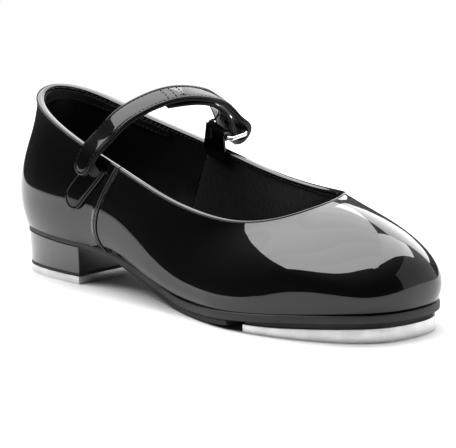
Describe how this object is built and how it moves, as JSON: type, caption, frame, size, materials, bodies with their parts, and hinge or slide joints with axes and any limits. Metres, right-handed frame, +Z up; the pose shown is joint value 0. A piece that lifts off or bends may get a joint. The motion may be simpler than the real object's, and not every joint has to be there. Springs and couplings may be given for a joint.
{
  "type": "tap shoe",
  "caption": "Low-heeled black patent instep-strap dance shoe with metal taps under toe and heel, ring-held hook-and-loop strap.",
  "frame": {"origin": "centre of the shoe's footprint box on the floor plane that the taps rest on", "axes": "+X from heel to toe, +Y towards the inner side of the foot, +Z up"},
  "size_m": [0.2021, 0.0775, 0.0777],
  "materials": {
    "patent": "glossy black patent leather with a thin clear coat",
    "lining_fabric": "black brushed textile lining",
    "lining_smooth": "matt black smooth synthetic lining",
    "strap_lining": "matt black backing of the strap",
    "stiffener": "thermoplastic stiffener board",
    "foam": "thin pale foam backing",
    "cork": "pressed cork",
    "board": "pressed fibre board",
    "sock": "padded dark textile sock liner",
    "steel": "plain steel",
    "sole": "black resin rubber with a satin edge",
    "heel": "black glossy covered heel block",
    "tap": "satin tumbled aluminium",
    "ring": "bright nickel chrome wire",
    "hook_loop": "black hook and loop pile"
  },
  "bodies": {
    "shoe": {"outsole": "sole", "sole_pad": "sole", "bottom_filler": "cork", "shank_plate": "steel", "shank_rivets": "steel", "insole_board": "board", "sock_liner": "sock", "heel_block": "heel", "heel_nails": "steel", "heel_lift": "sole", "heel_tap": "tap", "heel_tap_screws": "steel", "toe_tap_board": "sole", "toe_tap": "tap", "toe_tap_screws": "steel", "vamp": "patent", "quarter_lateral": "patent", "quarter_medial": "patent", "toe_puff": "stiffener", "heel_counter": "stiffener", "foam_lateral": "foam", "foam_medial": "foam", "vamp_lining": "lining_fabric", "quarter_lining": "lining_smooth", "collar_facing": "lining_smooth", "vamp_binding": "patent", "quarter_binding": "patent", "closure_tab": "patent", "loop_patch": "hook_loop", "ring_tab": "patent"},
    "ring": {"strap_ring": "ring"},
    "strap_base": {"strap_base": "patent", "strap_base_lining": "strap_lining"},
    "strap_end": {"strap_end": "patent", "strap_end_lining": "strap_lining", "hook_patch": "hook_loop"}
  },
  "joints": [
    {"name": "ring_pivot", "type": "hinge", "parent": "shoe", "child": "ring", "pos_m": [-0.02444, 0.02502, 0.05881], "axis": [-0.9272, 0, 0.3746], "range_deg": [0, 25]},
    {"name": "strap_swing", "type": "hinge", "parent": "ring", "child": "strap_base", "pos_m": [-0.02396, 0.03413, 0.06], "axis": [-0.9272, 0, 0.3746], "range_deg": [0, 120]},
    {"name": "strap_peel", "type": "hinge", "parent": "strap_base", "child": "strap_end", "pos_m": [-0.03272, -0.00413, 0.07429], "axis": [-0.9244, 0.1898, 0.3308], "range_deg": [0, 80]}
  ]
}
